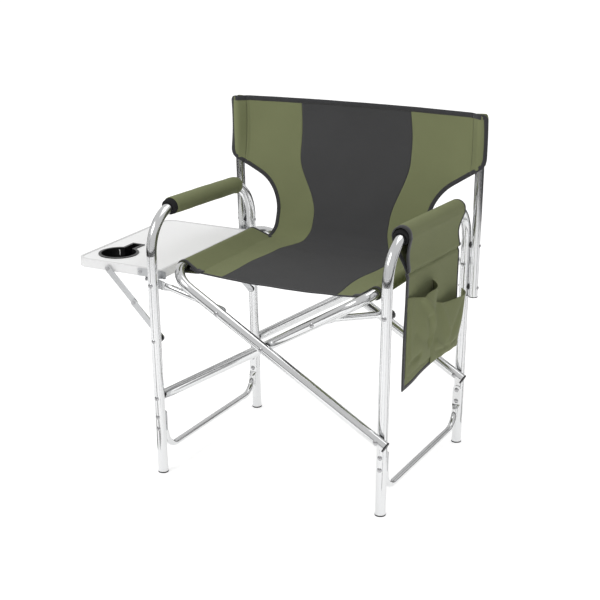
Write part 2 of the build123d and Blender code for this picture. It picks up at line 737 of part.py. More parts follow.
def back_fabric():
    """Back panel between the posts, narrowing to a waist where it runs down to the seat."""
    half_top = PIVOT_X + TUBE / 2 + POST_GAP - 2.0
    waist = 210.0
    foot = 213.0
    low_z = 508.0
    waist_z = 590.0
    outline = [
        Line((-half_top, BACK_TOP_Z), (half_top, BACK_TOP_Z)),
        Line((half_top, BACK_TOP_Z), (half_top, BACK_LOW_Z - 12)),
        ThreePointArc((half_top, BACK_LOW_Z - 12), (waist + 32, 655), (waist, waist_z)),
        ThreePointArc((waist, waist_z), (waist + 3, 545), (foot, low_z)),
        Line((foot, low_z), (-foot, low_z)),
        ThreePointArc((-foot, low_z), (-waist - 3, 545), (-waist, waist_z)),
        ThreePointArc((-waist, waist_z), (-waist - 32, 655), (-half_top, BACK_LOW_Z - 12)),
        Line((-half_top, BACK_LOW_Z - 12), (-half_top, BACK_TOP_Z)),
    ]
    turn = math.degrees(math.atan2(2 * SHIFT, 2 * half_top))
    recline = math.degrees(math.atan2(46.0, BACK_TOP_Z - low_z))
    sheet = extrude(Plane.XZ * make_face(outline), 1.2, both=True)
    sheet = sheet.rotate(Axis((0, 0, BACK_TOP_Z), (1, 0, 0)), -recline)
    return Pos(0, LEG_SPACING / 2, 0) * Rot(0, 0, turn) * sheet


# ---- parts ----
def all_parts():
    parts = {}
    for side, name in ((-1, "left"), (1, "right")):
        parts[f"{name}_side_frame"] = side_frame(side)
        parts[f"{name}_foot_caps"] = foot_caps(side)
        parts[f"{name}_lower_brace"] = brace_tube(side)
        parts[f"{name}_frame_rivets"] = frame_rivets(side)
        parts[f"{name}_frame_spacers"] = frame_spacers(side)
        parts[f"{name}_back_post"] = back_post(side)
        parts[f"{name}_post_caps"] = post_caps(side)
        parts[f"{name}_post_sleeve"] = post_sleeve(side)
        parts[f"{name}_seat_frame"] = seat_frame(side)
        parts[f"{name}_seat_frame_caps"] = seat_frame_caps(side)
        parts[f"{name}_seat_tunnel"] = seat_tunnel(side)
        parts[f"{name}_strut_stubs"] = strut_stubs(side)
        for end, place in ((-1, "front"), (1, "rear")):
            parts[f"{name}_{place}_strut"] = strut(side, end)
            parts[f"{name}_{place}_strut_knob"] = strut_knob(side, end)
    parts["crossing_rivets"] = crossing_rivets()
    parts["crossing_spacers"] = crossing_spacers()
    parts["left_arm_foam"] = arm_sleeve(-1, -165, 152, PAD_R - 1.5, TUBE / 2 + 0.1)
    parts["left_arm_cover"] = arm_sleeve(-1, -152, 140, PAD_R, PAD_R - 1.45)
    parts["right_arm_foam"] = arm_sleeve(1, -158, 168, PAD_R - 0.5, TUBE / 2 + 0.1)
    parts["organiser_panel"] = organiser_panel()
    for name, spans in POCKETS.items():
        parts[name] = organiser_pocket(*spans)
    parts["table_top"] = table_top()
    parts["table_rim"] = table_rim()
    parts["table_brackets"] = table_brackets()
    parts["table_rivets"] = table_rivets()
    parts["table_hinge_blocks"] = hinge_blocks()
    parts["table_block_screw"] = block_screw()
    parts["table_hinge_pins"] = hinge_pins()
    parts["cup_holder"] = cup_holder()
    parts["cup_holder_base"] = cup_holder_base()
    for end, place in ((-1, "front"), (1, "rear")):
        parts[f"table_{place}_upper_link"] = upper_link(end)
        parts[f"table_{place}_lower_link"] = lower_link(end)
        parts[f"table_{place}_knee_rivet"] = knee_rivet(end)
    parts["seat_fabric"] = seat_fabric()
    parts["back_fabric"] = back_fabric()
    return parts


os.makedirs("parts", exist_ok=True)
for node, shape in all_parts().items():
    export_step(shape, f"parts/{node}.step")
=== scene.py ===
import bpy
import json
import math
import numpy as np
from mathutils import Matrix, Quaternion, Vector

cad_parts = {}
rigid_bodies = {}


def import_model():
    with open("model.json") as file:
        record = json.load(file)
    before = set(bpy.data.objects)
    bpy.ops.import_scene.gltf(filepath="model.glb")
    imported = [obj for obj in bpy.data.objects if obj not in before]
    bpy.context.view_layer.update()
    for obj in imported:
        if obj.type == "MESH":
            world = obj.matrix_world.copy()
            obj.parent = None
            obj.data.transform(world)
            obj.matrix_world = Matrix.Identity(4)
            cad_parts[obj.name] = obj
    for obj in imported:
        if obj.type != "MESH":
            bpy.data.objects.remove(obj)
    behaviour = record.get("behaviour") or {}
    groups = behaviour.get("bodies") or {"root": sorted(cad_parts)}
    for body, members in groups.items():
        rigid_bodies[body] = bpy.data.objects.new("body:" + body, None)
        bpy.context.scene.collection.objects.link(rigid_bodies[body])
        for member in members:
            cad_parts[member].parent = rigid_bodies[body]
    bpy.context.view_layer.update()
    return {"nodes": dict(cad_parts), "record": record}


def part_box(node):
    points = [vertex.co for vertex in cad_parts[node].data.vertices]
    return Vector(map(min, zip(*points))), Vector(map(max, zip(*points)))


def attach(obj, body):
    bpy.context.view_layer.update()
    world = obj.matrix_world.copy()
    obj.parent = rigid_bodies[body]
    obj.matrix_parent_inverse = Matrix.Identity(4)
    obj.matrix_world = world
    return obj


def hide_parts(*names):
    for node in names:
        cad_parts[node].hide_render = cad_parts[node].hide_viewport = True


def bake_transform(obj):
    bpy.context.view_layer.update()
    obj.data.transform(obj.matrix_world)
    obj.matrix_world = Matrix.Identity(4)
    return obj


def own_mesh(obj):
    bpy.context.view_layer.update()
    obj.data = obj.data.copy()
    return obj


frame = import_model()
record = frame["record"]
nodes = frame["nodes"]

MM = 0.001

# ---------------------------------------------------------------- materials


def srgb(r, g, b):
    """8-bit screen colour to the linear values that shaders take."""
    out = []
    for value in (r, g, b):
        c = value / 255
        out.append(c / 12.92 if c <= 0.04045 else ((c + 0.055) / 1.055) ** 2.4)
    return (*out, 1.0)


class Shader:
    """Small helper round a material's node tree."""

    def __init__(self, name, colour, roughness, metallic=0.0, sheen=0.0, specular=0.5):
        self.mat = bpy.data.materials.new(name)
        self.mat.use_nodes = True
        self.tree = self.mat.node_tree
        self.bsdf = self.tree.nodes["Principled BSDF"]
        self.mat.diffuse_color = colour
        self.set("Base Color", colour)
        self.set("Roughness", roughness)
        self.set("Metallic", metallic)
        self.set("Sheen Weight", sheen)
        self.set("Specular IOR Level", specular)

    def set(self, socket, value):
        self.bsdf.inputs[socket].default_value = value

    def node(self, kind, **values):
        made = self.tree.nodes.new(kind)
        for key, value in values.items():
            if key in made.inputs:
                made.inputs[key].default_value = value
            else:
                setattr(made, key, value)
        return made

    def link(self, a, b):
        self.tree.links.new(a, b)

    def coords(self):
        return self.node("ShaderNodeTexCoord").outputs["Object"]

    def mapped(self, source, scale):
        mapping = self.node("ShaderNodeMapping")
        mapping.inputs["Scale"].default_value = scale
        self.link(source, mapping.inputs["Vector"])
        return mapping.outputs["Vector"]

    def noise(self, vector, scale, detail=3.0):
        tex = self.node("ShaderNodeTexNoise")
        tex.inputs["Scale"].default_value = scale
        tex.inputs["Detail"].default_value = detail
        tex.inputs["Roughness"].default_value = 0.5
        self.link(vector, tex.inputs["Vector"])
        return tex.outputs["Fac"]

    def math(self, op, a, b=None):
        made = self.node("ShaderNodeMath", operation=op)
        for index, value in enumerate((a, b)):
            if value is None:
                continue
            if isinstance(value, (int, float)):
                made.inputs[index].default_value = value
            else:
                self.link(value, made.inputs[index])
        return made.outputs[0]

    def spread(self, value, low, high):
        """Maps 0..1 to low..high."""
        made = self.node("ShaderNodeMapRange")
        made.inputs["To Min"].default_value = low
        made.inputs["To Max"].default_value = high
        self.link(value, made.inputs["Value"])
        return made.outputs["Result"]

    def tint(self, colour, factor):
        """Multiplies the base colour by a factor that varies over the surface."""
        mix = self.node("ShaderNodeMix", data_type="RGBA", blend_type="MULTIPLY")
        mix.inputs[0].default_value = 1.0
        mix.inputs[6].default_value = colour
        combine = self.node("ShaderNodeCombineColor")
        for channel in range(3):
            self.link(factor, combine.inputs[channel])
        self.link(combine.outputs[0], mix.inputs[7])
        self.link(mix.outputs[2], self.bsdf.inputs["Base Color"])

    def bump(self, height, strength):
        """Relief from a height in metres."""
        made = self.node("ShaderNodeBump")
        made.inputs["Strength"].default_value = strength
        made.inputs["Distance"].default_value = 1.0
        self.link(height, made.inputs["Height"])
        self.link(made.outputs["Normal"], self.bsdf.inputs["Normal"])


WEAVE_PITCH = 0.0011
WEAVE_HEIGHT = 0.00012
RIPPLE_HEIGHT = 0.0009
RIB_PITCH = 0.0012
RIB_HEIGHT = 0.0001


def woven(name, colour):
    """Coated plain-weave cloth. The weave follows the UV map, which is in metres."""
    s = Shader(name, colour, 0.85, sheen=0.04, specular=0.12)
    s.set("Sheen Roughness", 0.5)
    uv = s.node("ShaderNodeUVMap", uv_map="cloth").outputs["UV"]
    split = s.node("ShaderNodeSeparateXYZ")
    s.link(uv, split.inputs[0])
    turns = 2 * math.pi / WEAVE_PITCH
    warp = s.math("SINE", s.math("MULTIPLY", split.outputs[0], turns))
    weft = s.math("SINE", s.math("MULTIPLY", split.outputs[1], turns))
    weave = s.math("MULTIPLY", warp, weft)
    broad = s.noise(s.coords(), 9.0, 2.0)
    fine = s.noise(s.mapped(uv, (1.0, 1.0, 1.0)), 900.0, 1.0)
    tone = s.math("ADD", s.spread(broad, 0.93, 1.07), s.math("MULTIPLY", weave, 0.035))
    tone = s.math("ADD", tone, s.spread(fine, -0.05, 0.05))
    s.tint(colour, tone)
    ripple = s.noise(s.coords(), 26.0, 3.0)
    threads = s.math("MULTIPLY", weave, WEAVE_HEIGHT)
    height = s.math("ADD", threads, s.math("MULTIPLY", ripple, RIPPLE_HEIGHT))
    s.bump(height, 0.55)
    return s.mat


def binding_tape(name, colour):
    """Narrow woven tape with a fine rib across it."""
    s = Shader(name, colour, 0.85, sheen=0.2, specular=0.25)
    uv = s.node("ShaderNodeUVMap", uv_map="cloth").outputs["UV"]
    split = s.node("ShaderNodeSeparateXYZ")
    s.link(uv, split.inputs[0])
    rib = s.math("SINE", s.math("MULTIPLY", split.outputs[0], 2 * math.pi / RIB_PITCH))
    s.tint(colour, s.spread(s.noise(s.coords(), 120.0), 0.85, 1.15))
    s.bump(s.math("MULTIPLY", rib, RIB_HEIGHT), 0.5)
    return s.mat


def tube_metal(name, colour, roughness):
    """Bright metal with fine draw lines and a slightly uneven polish."""
    s = Shader(name, colour, roughness, metallic=1.0)
    broad = s.noise(s.coords(), 14.0, 2.0)
    s.link(s.spread(broad, roughness - 0.04, roughness + 0.08), s.bsdf.inputs["Roughness"])
    lines = s.noise(s.mapped(s.coords(), (900.0, 900.0, 900.0)), 1.0, 1.0)
    s.bump(s.math("MULTIPLY", lines, 0.00001), 0.2)
    return s.mat


def plastic(name, colour, roughness, grain=0.0):
    """Moulded plastic, grained when grain is above 0."""
    s = Shader(name, colour, roughness, specular=0.45)
    if grain:
        speck = s.noise(s.coords(), 1500.0, 2.0)
        s.bump(s.math("MULTIPLY", speck, 0.00006), grain)
    wear = s.noise(s.coords(), 30.0, 3.0)
    s.link(s.spread(wear, roughness - 0.05, roughness + 0.08), s.bsdf.inputs["Roughness"])
    return s.mat


def coated(name, colour, roughness=0.42):
    """Powder-coated sheet with a faint orange peel."""
    s = Shader(name, colour, roughness, specular=0.5)
    peel = s.noise(s.coords(), 420.0, 2.0)
    s.bump(s.math("MULTIPLY", peel, 0.00005), 0.25)
    s.tint(colour, s.spread(s.noise(s.coords(), 7.0, 2.0), 0.985, 1.01))
    return s.mat


def foam(name, colour):
    """Soft open-cell foam."""
    s = Shader(name, colour, 0.95, specular=0.1, sheen=0.03)
    cells = s.noise(s.coords(), 700.0, 3.0)
    s.tint(colour, s.spread(cells, 0.6, 1.4))
    s.bump(s.math("MULTIPLY", cells, 0.0008), 0.7)
    return s.mat


OLIVE = srgb(124, 129, 94)
CHARCOAL = srgb(72, 72, 73)
MATERIALS = {
    "satin_tube": tube_metal("satin tube", (0.72, 0.725, 0.73, 1), 0.13),
    "bare_aluminium": tube_metal("brushed sheet", (0.66, 0.67, 0.68, 1), 0.34),
    "rivet_steel": tube_metal("rivet steel", (0.48, 0.48, 0.49, 1), 0.25),
    "black_plastic": plastic("black plastic", (0.012, 0.012, 0.013, 1), 0.45, 0.3),
    "black_gloss_plastic": plastic("black gloss plastic", (0.006, 0.006, 0.007, 1), 0.3),
    "black_foam": foam("black foam", (0.02, 0.02, 0.021, 1)),
    "table_sheet": coated("table sheet", srgb(247, 247, 247)),
    # The rim's grey, darker than the sheet, is painted shade along the table's lip.
    "table_rim": coated("table rim", srgb(226, 226, 226), 0.35),
    "olive_fabric": woven("olive cloth", OLIVE),
    "charcoal_fabric": woven("charcoal cloth", CHARCOAL),
}
olive = MATERIALS["olive_fabric"]
charcoal = MATERIALS["charcoal_fabric"]
tape = binding_tape("charcoal tape", srgb(58, 58, 60))
stitch_mat = binding_tape("stitching thread", srgb(70, 72, 60))

# Every CAD node wears the material of its slot.
for entry in record["subparts"]:
    node = nodes[entry["node"]]
    node.data.materials.clear()
    node.data.materials.append(MATERIALS[entry["material_slot"]])

# ---------------------------------------------------------------- mesh helpers


def make_object(name, verts, faces, uvs, material):
    """Mesh from millimetre points; uvs holds one metric pair per vertex."""
    name = name.replace(" ", "_")
    mesh = bpy.data.meshes.new(name)
    mesh.from_pydata([tuple(v * MM for v in p) for p in verts], [], faces)
    layer = mesh.uv_layers.new(name="cloth")
    for loop in mesh.loops:
        u, v = uvs[loop.vertex_index]
        layer.data[loop.index].uv = (u * MM, v * MM)
    mesh.materials.append(material)
    mesh.polygons.foreach_set("use_smooth", [True] * len(mesh.polygons))
    mesh.update()
    obj = bpy.data.objects.new(name, mesh)
    bpy.context.scene.collection.objects.link(obj)
    return obj


def grid_normals(points):
    """Unit normals of a grid of surface points."""
    du = np.gradient(points, axis=0)
    dv = np.gradient(points, axis=1)
    normal = np.cross(du, dv)
    length = np.linalg.norm(normal, axis=2, keepdims=True)
    return normal / np.maximum(length, 1e-9)


def grid_uv(points):
    """Arc lengths along rows and columns, so the weave keeps its size."""
    along = np.linalg.norm(np.diff(points, axis=0), axis=2)
    across = np.linalg.norm(np.diff(points, axis=1), axis=2)
    u = np.zeros(points.shape[:2])
    v = np.zeros(points.shape[:2])
    v[1:, :] = np.cumsum(along, axis=0)
    u[:, 1:] = np.cumsum(across, axis=1)
    return u, v


def cloth_grid(name, points, material, thickness, closed=False, normal=None):
    """Sheet of real thickness from a grid of surface points, with closed edges.

    closed says that the last column lies on the first, as it does in a tunnel.
    """
    points = np.asarray(points, float)
    rows, cols = points.shape[:2]
    if normal is None:
        normal = grid_normals(points)
    if closed:
        wrapped = np.concatenate([points[:, -2:-1], points, points[:, 1:2]], axis=1)
        normal = grid_normals(wrapped)[:, 1:-1]
    u, v = grid_uv(points)
    top = points + normal * thickness / 2
    low = points - normal * thickness / 2
    verts = np.concatenate([top.reshape(-1, 3), low.reshape(-1, 3)])
    uvs = np.concatenate([np.stack([u, v], 2).reshape(-1, 2)] * 2)
    count = rows * cols
    faces = []
    for i in range(rows - 1):
        for j in range(cols - 1):
            a = i * cols + j
            faces.append((a, a + 1, a + cols + 1, a + cols))
            faces.append((count + a, count + a + cols, count + a + cols + 1, count + a + 1))

    def wall(a, b, flip):
        quad = (a, b, count + b, count + a)
        faces.append(quad[::-1] if flip else quad)

    for i in range(rows - 1):
        for j, flip in ((0, False), (cols - 1, True)):
            wall(i * cols + j, i * cols + j + cols, flip)
    for j in range(cols - 1):
        for i, flip in ((0, True), (rows - 1, False)):
            wall(i * cols + j, i * cols + j + 1, flip)
    return make_object(name, verts, faces, uvs, material)


def ribbon(name, edge, inward, normal, width, thick=3.2):
    """Folded binding tape over an edge: a flattened loop swept along the edge points."""
    edge = np.asarray(edge, float)
    half = thick / 2
    section = []
    for k in range(5):
        angle = math.pi / 2 + math.pi * k / 4
        section.append((half * math.cos(angle) - 1.0 + half * 0.6, half * math.sin(angle)))
    section.append((width * 0.5, -half * 0.95))
    section.append((width - 0.6, -half * 0.8))
    section.append((width, 0))
    section.append((width - 0.6, half * 0.8))
    section.append((width * 0.5, half * 0.95))
    count = len(section)
    verts = []
    uvs = []
    travel = 0.0
    for k, point in enumerate(edge):
        if k:
            travel += np.linalg.norm(point - edge[k - 1])
        for m, (a, b) in enumerate(section):
            verts.append(point + inward[k] * a + normal[k] * b)
            uvs.append((travel, m * 3.0))
    faces = []
    for k in range(len(edge) - 1):
        for m in range(count):
            n = (m + 1) % count
            faces.append((k * count + m, k * count + n, (k + 1) * count + n, (k + 1) * count + m))
    faces.append(tuple(range(count))[::-1])
    faces.append(tuple((len(edge) - 1) * count + m for m in range(count)))
    return make_object(name, verts, faces, uvs, tape)


STITCH_PITCH = 4.0
STITCH_LENGTH = 2.6
THREAD_R = 0.35


def stitches(name, line, normal):
    """Row of short raised threads along a line of points."""
    line = np.asarray(line, float)
    step = np.linalg.norm(np.diff(line, axis=0), axis=1)
    at = np.concatenate([[0], np.cumsum(step)])
    verts = []
    faces = []
    uvs = []
    spot = STITCH_PITCH
    while spot < at[-1] - STITCH_PITCH:
        middle = [np.interp(spot, at, line[:, k]) for k in range(3)]
        ahead = [np.interp(spot + 0.5, at, line[:, k]) for k in range(3)]
        up = np.array([np.interp(spot, at, normal[:, k]) for k in range(3)])
        way = np.array(ahead) - np.array(middle)
        way /= max(np.linalg.norm(way), 1e-9)
        side = np.cross(way, up)
        base = len(verts)
        for t in (-1, 1):
            for a, b in ((1, 0), (0, 1), (-1, 0), (0, -0.6)):
                end = way * t * STITCH_LENGTH / 2
                verts.append(np.array(middle) + end + side * a * THREAD_R + up * b * THREAD_R)
                uvs.append((0, 0))
        for m in range(4):
            n = (m + 1) % 4
            faces.append((base + m, base + n, base + 4 + n, base + 4 + m))
        faces.append((base, base + 1, base + 2, base + 3)[::-1])
        faces.append((base + 4, base + 5, base + 6, base + 7))
        spot += STITCH_PITCH
    return make_object(name, verts, faces, uvs, stitch_mat)


def smooth_curve(keys, values, at):
    """Smooth interpolation through set points, held level past both ends."""
    keys = np.asarray(keys, float)
    values = np.asarray(values, float)
    slope = np.gradient(values, keys)
    at = np.clip(at, keys[0], keys[-1])
    index = np.clip(np.searchsorted(keys, at) - 1, 0, len(keys) - 2)
    span = keys[index + 1] - keys[index]
    t = (at - keys[index]) / span
    h00 = 2 * t ** 3 - 3 * t ** 2 + 1
    h10 = t ** 3 - 2 * t ** 2 + t
    h01 = -2 * t ** 3 + 3 * t ** 2
    h11 = t ** 3 - t ** 2
    start = h00 * values[index] + h10 * span * slope[index]
    return start + h01 * values[index + 1] + h11 * span * slope[index + 1]


def ease(value, low, high):
    """0 below low, 1 above high and an S-curve between them."""
    t = np.clip((np.asarray(value, float) - low) / (high - low), 0, 1)
    return t * t * (3 - 2 * t)


def wave(x, y, seed):
    """Gentle, repeatable unevenness between -1 and 1."""
    a = np.sin(x * 0.021 + seed * 1.7) * np.cos(y * 0.017 + seed * 2.3)
    b = np.sin(x * 0.047 - y * 0.031 + seed * 4.1)
    c = np.cos(x * 0.083 + y * 0.067 + seed * 0.9)
    return 0.55 * a + 0.3 * b + 0.15 * c


def inward_frame(points, inner):
    """Unit directions along a line of points and, square to them, towards the inner line."""
    way = np.gradient(points, axis=0)
    way /= np.maximum(np.linalg.norm(way, axis=1, keepdims=True), 1e-9)
    raw = inner - points
    raw -= way * np.sum(raw * way, axis=1, keepdims=True)
    inward = raw / np.maximum(np.linalg.norm(raw, axis=1, keepdims=True), 1e-9)
    return way, inward


def box_mm(node):
    """Both corners of a CAD node's box in millimetres."""
    low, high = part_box(node)
    return np.array(low) / MM, np.array(high) / MM


# ---------------------------------------------------------------- where the frame is

rail_low, rail_high = box_mm("left_seat_frame")
RAIL_R = 12.5
RAIL_X = -rail_low[0] - RAIL_R
RAIL_Z = rail_high[2] - RAIL_R
# The side tables below are keyed by the sign of X: -1 is the left side and 1 the right side.
SIDES = ((-1, "left"), (1, "right"))
POST_Y = {}
for side, label in SIDES:
    sleeve_low, sleeve_high = box_mm(f"{label}_post_sleeve")
    POST_Y[side] = (sleeve_low[1] + sleeve_high[1]) / 2
BACK_TOP = box_mm("left_post_sleeve")[1][2]


def post_x(z):
    """Distance of a back post's axis from the middle at this height."""
    return 315.8 + 0.0185 * (z - 195)


# ---------------------------------------------------------------- seat and back sling

# Middle line (y, z) from the seat's front edge to the top of the back.
profile = np.array([
    (-188, 498), (-100, 494), (0, 493), (90, 494), (150, 497), (176, 504), (190, 520),
    (205, 552), (222, 600), (240, 655), (253, 710), (262, 770), (262, 820), (258, BACK_TOP),
], float)
profile_s = np.concatenate([[0], np.cumsum(np.linalg.norm(np.diff(profile, axis=0), axis=1))])
S_TOTAL = profile_s[-1]
S_FOOT = profile_s[5]
SEAT_HALF = 218.0
SEAT_RISE = 7.0
SEAT_EDGE_RISE = 9.0
BACK_TWIST = 0.042
BACK_HOLLOW = 20.0
SEAM_X = 305.0
POCKET_R = 12.7
POCKET_EDGE = 18.5


def edge_set(x, z):
    """The sewn edge outside each post is drawn forwards."""
    return ease(z, 660, 700) * ease(np.abs(x) - post_x(z), -6, 12) * 8.0


def post_bulge(x, y, z, way):
    """How far the cloth stands off its own plane to pass a back post; way 1 is in front, -1 behind."""
    out = np.abs(x) - post_x(z)
    behind = way * (y - np.where(x < 0, POST_Y[-1], POST_Y[1]))
    offset = np.zeros(np.broadcast(x, y, z).shape)
    for start, facing in ((-26.0, 1), (POCKET_EDGE, -1)):
        reach = np.hypot(start, behind)
        rise = np.arctan2(behind, abs(start)) + np.arcsin(np.clip(POCKET_R / reach, 0, 1))
        touch = start + facing * np.sqrt(np.maximum(reach ** 2 - POCKET_R ** 2, 0)) * np.cos(rise)
        line = (out - start) * facing * np.tan(rise)
        inside = (out - start) * facing > 0
        before = (out - touch) * facing < 0
        offset = np.where(inside & before, line, offset)
        if facing > 0:
            first = touch
    arc = behind + np.sqrt(np.maximum(POCKET_R ** 2 - out ** 2, 0))
    return np.where((out >= first) & (out <= touch), arc, offset)


def sling_point(x, s):
    """Surface of the seat and back at a distance s from the front edge."""
    y = smooth_curve(profile_s, profile[:, 0], s)
    z = smooth_curve(profile_s, profile[:, 1], s)
    upright = ease(s, 320, 570)
    y = y + upright * BACK_TWIST * x
    seat = 1 - ease(s, 300, 400)
    z = z + seat * SEAT_RISE * (np.abs(x) / SEAT_HALF) ** 2.0
    z = z + seat * SEAT_EDGE_RISE * (np.abs(x) / SEAT_HALF) ** 8 * (0.3 + 0.7 * ease(s, 0, 110))
    free = np.minimum(np.abs(x) / SEAM_X, 1.0)
    y = y - ease(s, 400, 560) * BACK_HOLLOW * free ** 2
    y = y - edge_set(x, z)
    y = y - ease(z, 640, 685) * post_bulge(x, y, z, 1)
    y = y + 1.6 * wave(x, s, 1.0) * ease(s, 380, 480) * (1 - ease(np.abs(x), 240, 300))
    z = z + 1.2 * wave(x, s, 2.0) * seat
    return np.stack([x, y, z], axis=-1)


def post_front(x, s):
    """The forward offset that sling_point has already applied."""
    y = smooth_curve(profile_s, profile[:, 0], s)
    z = smooth_curve(profile_s, profile[:, 1], s)
    free = np.minimum(np.abs(x) / SEAM_X, 1.0)
    y = y + ease(s, 320, 570) * BACK_TWIST * x
    y = y - ease(s, 400, 560) * BACK_HOLLOW * free ** 2 - edge_set(x, z)
    return ease(z, 640, 685) * post_bulge(x, y, z, 1)


# Where the rear tapes start, a little inside the tunnels' ends.
REAR_TAPE_Y = {-1: 140.0, 1: 156.0}
NECK = {-1: 208.0, 1: 207.0}
WING = 343.0
# Corners of the outline as (distance from the middle, height, radius of its arc).
OUTLINE = {
    -1: [
        (SEAT_HALF, 500, 0),
        (NECK[-1], 526, 80),
        (NECK[-1], 630, 110),
        (WING, 701, 30),
        (WING, BACK_TOP, 14),
    ],
    1: [
        (SEAT_HALF, 500, 0),
        (NECK[1], 526, 80),
        (NECK[1], 640, 120),
        (WING, 728, 34),
        (WING, BACK_TOP, 13),
    ],
}
# The seam between olive and charcoal: its distance on the seat, a slow wave there, how far it
# draws in to the neck and flares out again up the back, where along the sling each happens, and
# how far it comes back in at the top.
COLOUR_SEAM = {
    -1: {
        "seat": 151, "wave": -4, "pitch": 300, "top": 0,
        "neck": 48, "in": (280, 410), "flare": 54, "out": (435, 590),
    },
    1: {
        "seat": 148, "wave": 8, "pitch": 270, "top": 5,
        "neck": 43, "in": (295, 420), "flare": 38, "out": (440, 600),
    },
}


def rounded(corners):
    """Outline through its corners, each turned into an arc of its own radius."""
    ends = corners + [(0.0, corners[-1][1], 0)]
    points = [np.array(corners[0][:2], float)]
    for before, here, after in zip(ends, ends[1:], ends[2:]):
        corner = np.array(here[:2], float)
        back = np.array(before[:2]) - corner
        on = np.array(after[:2]) - corner
        back = back / np.linalg.norm(back)
        on = on / np.linalg.norm(on)
        half = math.acos(float(back @ on)) / 2
        middle = (back + on) / np.linalg.norm(back + on)
        centre = corner + middle * here[2] / math.sin(half)
        start = corner + back * here[2] / math.tan(half) - centre
        stop = corner + on * here[2] / math.tan(half) - centre
        sweep = math.pi - 2 * half
        for t in np.linspace(0, 1, 13):
            spoke = start * math.sin((1 - t) * sweep) + stop * math.sin(t * sweep)
            points.append(centre + spoke / math.sin(sweep))
    return np.array(points)


outlines = {side: rounded(corners) for side, corners in OUTLINE.items()}


def edge_x(side, s):
    """Distance of the sling's outline from the middle."""
    z = smooth_curve(profile_s, profile[:, 1], s)
    x = np.interp(z, outlines[side][:, 1], outlines[side][:, 0])
    return np.where(s < S_FOOT - 5, SEAT_HALF, x)


def colour_x(side, s):
    """Distance of the seam between olive and charcoal from the middle."""
    seam = COLOUR_SEAM[side]
    swing = seam["wave"] * np.cos(2 * math.pi * s / seam["pitch"]) * (1 - ease(s, 250, 330))
    drawn = seam["neck"] * ease(s, *seam["in"]) - seam["flare"] * ease(s, *seam["out"])
    return seam["seat"] + swing - drawn - seam["top"] * ease(s, 640, S_TOTAL)


def sling_patch(x_from, x_to, s_values, columns):
    """Grid between two edge curves given at each s."""
    t = np.linspace(0, 1, columns)
    grid = []
    for s, a, b in zip(s_values, x_from, x_to):
        x = a + (b - a) * t
        grid.append(sling_point(x, np.full(columns, s)))
    return np.array(grid)


def sling_rows(s_low, s_high, step=4.0):
    """Distances along the sling, closer together round the fold between seat and back."""
    rows = [s_low]
    while rows[-1] < s_high - 0.3:
        near = abs(rows[-1] - S_FOOT) < 40
        rows.append(min(rows[-1] + (1.4 if near else step), s_high))
    return np.array(rows)


sling_grids = {}


def sling_pieces(label, s_low, s_high):
    """Left olive, charcoal and right olive pieces between two distances."""
    rows = sling_rows(s_low, s_high)
    left_out = -np.minimum(edge_x(-1, rows), SEAM_X)
    left_in = -colour_x(-1, rows)
    right_in = colour_x(1, rows)
    right_out = np.minimum(edge_x(1, rows), SEAM_X)
    made = []
    spans = (
        ("left", left_out, left_in, 44, olive),
        ("middle", left_in, right_in, 60, charcoal),
        ("right", right_in, right_out, 44, olive),
    )
    for place, a, b, columns, material in spans:
        points = sling_patch(a, b, rows, columns)
        wider = np.concatenate([[rows[0] - 1.4], rows, [rows[-1] + 1.4]])
        ends = [np.concatenate([[v[0]], v, [v[-1]]]) for v in (a, b)]
        normal = grid_normals(sling_patch(ends[0], ends[1], wider, columns))[1:-1]
        piece = cloth_grid(f"{label} {place}", points, material, 1.6, normal=normal)
        sling_grids[piece.name] = points
        made.append(piece)
    return made


# The frame body that carries each side's pieces.
FRAME_OF = {-1: "left_frame", 1: "right_frame"}


def on_seat(obj):
    """Bakes the piece's placement into its mesh; it is not parented to a frame."""
    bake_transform(obj)


def on_back(obj):
    """Carried by the left frame, with a mesh of its own."""
    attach(obj, "left_frame")
    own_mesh(obj)


seat_parts = sling_pieces("seat", 0, S_FOOT)
back_parts = sling_pieces("back panel", S_FOOT, S_TOTAL)


def edge_frames(side, rows):
    """Edge points with inward and normal directions along the sling's outline."""
    x = side * edge_x(side, rows)
    points = sling_point(x, rows)
    way, inward = inward_frame(points, sling_point(x - side * 4.0, rows))
    return points, inward, np.cross(way, inward)


def row_frames(s, x_values, toward):
    """The same along a row of constant s; toward is the sign of the inward direction in s."""
    points = sling_point(x_values, np.full(len(x_values), s))
    way, inward = inward_frame(points, sling_point(x_values, np.full(len(x_values), s + toward * 4.0)))
    return points, inward, np.cross(way, inward)


EDGE_TAPE = 9.5
TOP_TAPE = 11.5
FRONT_TAPE = 5.0
bindings = []
pocket_tapes = {}
threads = []


def taped(name, frames, width):
    """Binding tape with its row of stitches on the side that faces forwards."""
    edge, inward, normal = frames
    toward = np.sign(np.sum(normal[:, 1] * 1.0 - normal[:, 2] * 0.3))
    made = ribbon(name, edge, inward, normal, width)
    line = edge + inward * (width - 2.2) - normal * toward * 1.5
    thread = stitches(f"{name} stitches", line, -normal * toward)
    threads.append((thread, made))
    return made


